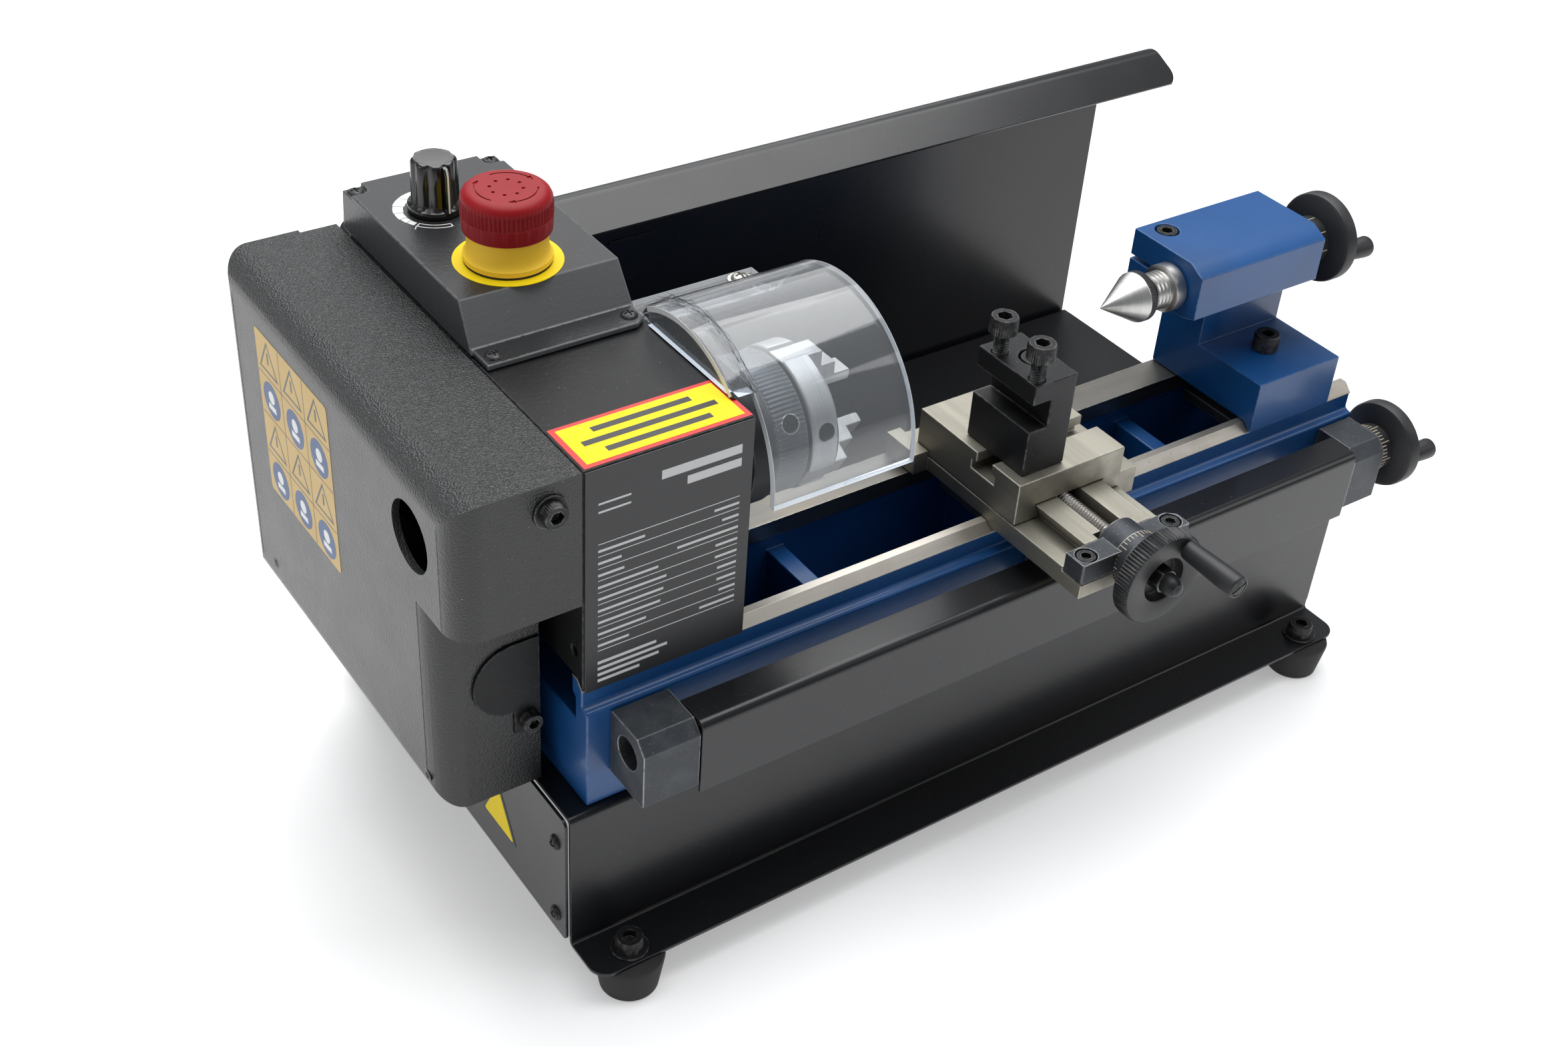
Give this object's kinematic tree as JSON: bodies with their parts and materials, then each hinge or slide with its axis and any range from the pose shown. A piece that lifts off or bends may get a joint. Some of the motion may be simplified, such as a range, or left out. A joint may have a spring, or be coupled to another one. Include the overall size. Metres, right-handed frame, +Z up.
{
  "type": "metal lathe",
  "caption": "Small bench lathe for turning metal: blue bed and tailstock, black headstock, chuck under a clear guard, screw-fed carriage and cross slide on a cabinet base.",
  "frame": {"origin": "middle of the whole box across, on the floor under the feet", "axes": "+X along the bed from the headstock to the tailstock, -Y towards the operator, +Z up"},
  "size_m": [0.4132, 0.2722, 0.247],
  "materials": {
    "gloss_black": "gloss black powder coat on folded sheet",
    "satin_black": "satin black paint with a fine orange peel",
    "moulded_black": "grained black moulding",
    "blue_paint": "semi-gloss blue enamel on cast iron, ground bare on the ways",
    "ground_steel": "ground and turned steel with fine scratches and a film of oil",
    "dark_steel": "dark gunmetal, edges rubbed bright",
    "black_oxide": "black oxide with worn edges",
    "black_rubber": "dull black rubber",
    "red_plastic": "red moulding",
    "yellow_plastic": "yellow moulding",
    "clear_plastic": "clear polycarbonate with light scratches"
  },
  "bodies": {
    "frame": {"base_cabinet": "gloss_black", "base_end_cover_left": "gloss_black", "base_end_cover_right": "gloss_black", "splash_guard": "satin_black", "foot_front_left": "black_rubber", "foot_front_right": "black_rubber", "foot_rear_left": "black_rubber", "foot_rear_right": "black_rubber", "bed": "blue_paint", "headstock_casting": "satin_black", "spec_plate": "satin_black", "motor_housing": "satin_black", "spindle_bearing_left": "ground_steel", "spindle_bearing_right": "ground_steel", "belt_cover": "moulded_black", "belt_cover_hatch": "satin_black", "control_box": "satin_black", "estop_collar": "yellow_plastic", "cable_gland": "black_rubber", "drive_motor": "dark_steel", "drive_belt": "black_rubber", "bearing_block_left": "dark_steel", "bearing_block_right": "dark_steel", "leadscrew_cover": "gloss_black", "guard_hinge_rod": "black_oxide"},
    "spindle_unit": {"spindle": "ground_steel", "spindle_pulley": "dark_steel", "chuck_body": "ground_steel"},
    "motor_rotor": {"motor_pulley": "dark_steel"},
    "scroll": {"chuck_scroll_ring": "dark_steel"},
    "jaw_1": {"chuck_jaw_1": "ground_steel"},
    "jaw_2": {"chuck_jaw_2": "ground_steel"},
    "jaw_3": {"chuck_jaw_3": "ground_steel"},
    "guard": {"chuck_guard": "clear_plastic", "guard_hinge_leaf": "black_oxide"},
    "knob": {"speed_knob": "moulded_black"},
    "stop_button": {"estop_button": "red_plastic"},
    "lead_unit": {"leadscrew": "ground_steel", "lead_handwheel": "black_oxide"},
    "lead_handle": {"lead_crank": "black_oxide"},
    "carriage": {"saddle": "ground_steel", "carriage_nut_bracket": "dark_steel", "cross_bracket": "dark_steel"},
    "cross_unit": {"cross_screw": "ground_steel", "cross_handwheel": "black_oxide"},
    "cross_handle": {"cross_crank": "black_oxide"},
    "top_slide": {"cross_slide": "ground_steel", "cross_nut": "dark_steel", "tool_post_bolt": "black_oxide"},
    "post": {"tool_post": "black_oxide"},
    "post_screw_rear": {"tool_screw_rear": "black_oxide"},
    "post_screw_front": {"tool_screw_front": "black_oxide"},
    "tail": {"tailstock_casting": "blue_paint", "tailstock_clamp_plate": "dark_steel"},
    "tail_lock": {"tailstock_lock_bolt": "black_oxide"},
    "quill_lock": {"quill_clamp_screw": "black_oxide"},
    "quill": {"tailstock_quill": "ground_steel", "dead_centre": "ground_steel"},
    "tail_unit": {"tail_handwheel": "black_oxide"},
    "tail_handle": {"tail_crank": "black_oxide"}
  },
  "joints": [
    {"name": "spindle_turn", "type": "hinge", "parent": "frame", "child": "spindle_unit", "pos_m": [-0.11245, -0.0244, 0.18], "axis": [1, 0, 0], "continuous": true},
    {"name": "motor_turn", "type": "hinge", "parent": "frame", "child": "motor_rotor", "pos_m": [-0.17245, 0.0596, 0.16], "axis": [1, 0, 0], "continuous": true},
    {"name": "scroll_turn", "type": "hinge", "parent": "spindle_unit", "child": "scroll", "pos_m": [-0.08645, -0.0244, 0.18], "axis": [1, 0, 0], "range_deg": [-720, 600]},
    {"name": "jaw_1_slide", "type": "slide", "parent": "spindle_unit", "child": "jaw_1", "axis": [0, 0, 1], "range_m": [-0.0062, 0.0052]},
    {"name": "jaw_2_slide", "type": "slide", "parent": "spindle_unit", "child": "jaw_2", "axis": [0, -0.866, -0.5], "range_m": [-0.0062, 0.0052]},
    {"name": "jaw_3_slide", "type": "slide", "parent": "spindle_unit", "child": "jaw_3", "axis": [0, 0.866, -0.5], "range_m": [-0.0062, 0.0052]},
    {"name": "guard_hinge", "type": "hinge", "parent": "frame", "child": "guard", "pos_m": [-0.07245, 0.0306, 0.1896], "axis": [-1, 0, 0], "range_deg": [0, 80]},
    {"name": "speed_knob_turn", "type": "hinge", "parent": "frame", "child": "knob", "pos_m": [-0.14395, 0.0799, 0.23], "axis": [0, 0, -1], "range_deg": [0, 270]},
    {"name": "estop_press", "type": "slide", "parent": "frame", "child": "stop_button", "axis": [0, 0, -1], "range_m": [0, 0.0035], "stiffness_N_per_m": 600},
    {"name": "carriage_slide", "type": "slide", "parent": "frame", "child": "carriage", "axis": [1, 0, 0], "range_m": [-0.04, 0.045]},
    {"name": "lead_turn", "type": "hinge", "parent": "frame", "child": "lead_unit", "pos_m": [0.17755, -0.0654, 0.1029], "axis": [1, 0, 0], "range_deg": [-16300, 14500]},
    {"name": "lead_crank_spin", "type": "hinge", "parent": "lead_unit", "child": "lead_handle", "pos_m": [0.19755, -0.0772, 0.1025], "axis": [1, 0, 0], "continuous": true},
    {"name": "cross_slide_move", "type": "slide", "parent": "carriage", "child": "top_slide", "axis": [0, -1, 0], "range_m": [-0.022, 0.023]},
    {"name": "cross_turn", "type": "hinge", "parent": "carriage", "child": "cross_unit", "pos_m": [0.02325, -0.1084, 0.132], "axis": [0, 1, 0], "range_deg": [-8400, 8100]},
    {"name": "cross_crank_spin", "type": "hinge", "parent": "cross_unit", "child": "cross_handle", "pos_m": [0.03055, -0.1244, 0.1428], "axis": [0, 1, 0], "continuous": true},
    {"name": "tool_post_swivel", "type": "hinge", "parent": "top_slide", "child": "post", "pos_m": [0.01515, -0.0431, 0.16], "axis": [0, 0, -1], "range_deg": [-30, 30]},
    {"name": "tool_screw_rear_drive", "type": "slide", "parent": "post", "child": "post_screw_rear", "axis": [0, 0, -1], "range_m": [-0.003, 0.005]},
    {"name": "tool_screw_front_drive", "type": "slide", "parent": "post", "child": "post_screw_front", "axis": [0, 0, -1], "range_m": [-0.003, 0.005]},
    {"name": "tail_slide", "type": "slide", "parent": "frame", "child": "tail", "axis": [1, 0, 0], "range_m": [-0.045, 0.014]},
    {"name": "tail_lock_turn", "type": "hinge", "parent": "tail", "child": "tail_lock", "pos_m": [0.14615, -0.034, 0.145], "axis": [0, 0, 1], "range_deg": [-90, 90]},
    {"name": "quill_lock_turn", "type": "hinge", "parent": "tail", "child": "quill_lock", "pos_m": [0.10675, -0.0089, 0.19], "axis": [0, 0, 1], "range_deg": [-180, 180]},
    {"name": "quill_slide", "type": "slide", "parent": "tail", "child": "quill", "axis": [-1, 0, 0], "range_m": [0, 0.023]},
    {"name": "tail_wheel_turn", "type": "hinge", "parent": "tail", "child": "tail_unit", "pos_m": [0.17255, -0.0244, 0.18], "axis": [1, 0, 0], "range_deg": [-8300, 10]},
    {"name": "tail_crank_spin", "type": "hinge", "parent": "tail_unit", "child": "tail_handle", "pos_m": [0.18255, -0.0371, 0.1786], "axis": [1, 0, 0], "continuous": true}
  ],
  "couplings": [
    {"joint": "motor_turn", "follows": "spindle_turn", "ratio": 1.8225},
    {"joint": "jaw_1_slide", "follows": "scroll_turn", "m_per_rad": 0.00047746},
    {"joint": "jaw_2_slide", "follows": "scroll_turn", "m_per_rad": 0.00047746},
    {"joint": "jaw_3_slide", "follows": "scroll_turn", "m_per_rad": 0.00047746},
    {"joint": "lead_turn", "follows": "carriage_slide", "rad_per_m": -6283.2},
    {"joint": "cross_turn", "follows": "cross_slide_move", "rad_per_m": -6283.2},
    {"joint": "tail_wheel_turn", "follows": "quill_slide", "rad_per_m": -6283.2}
  ]
}
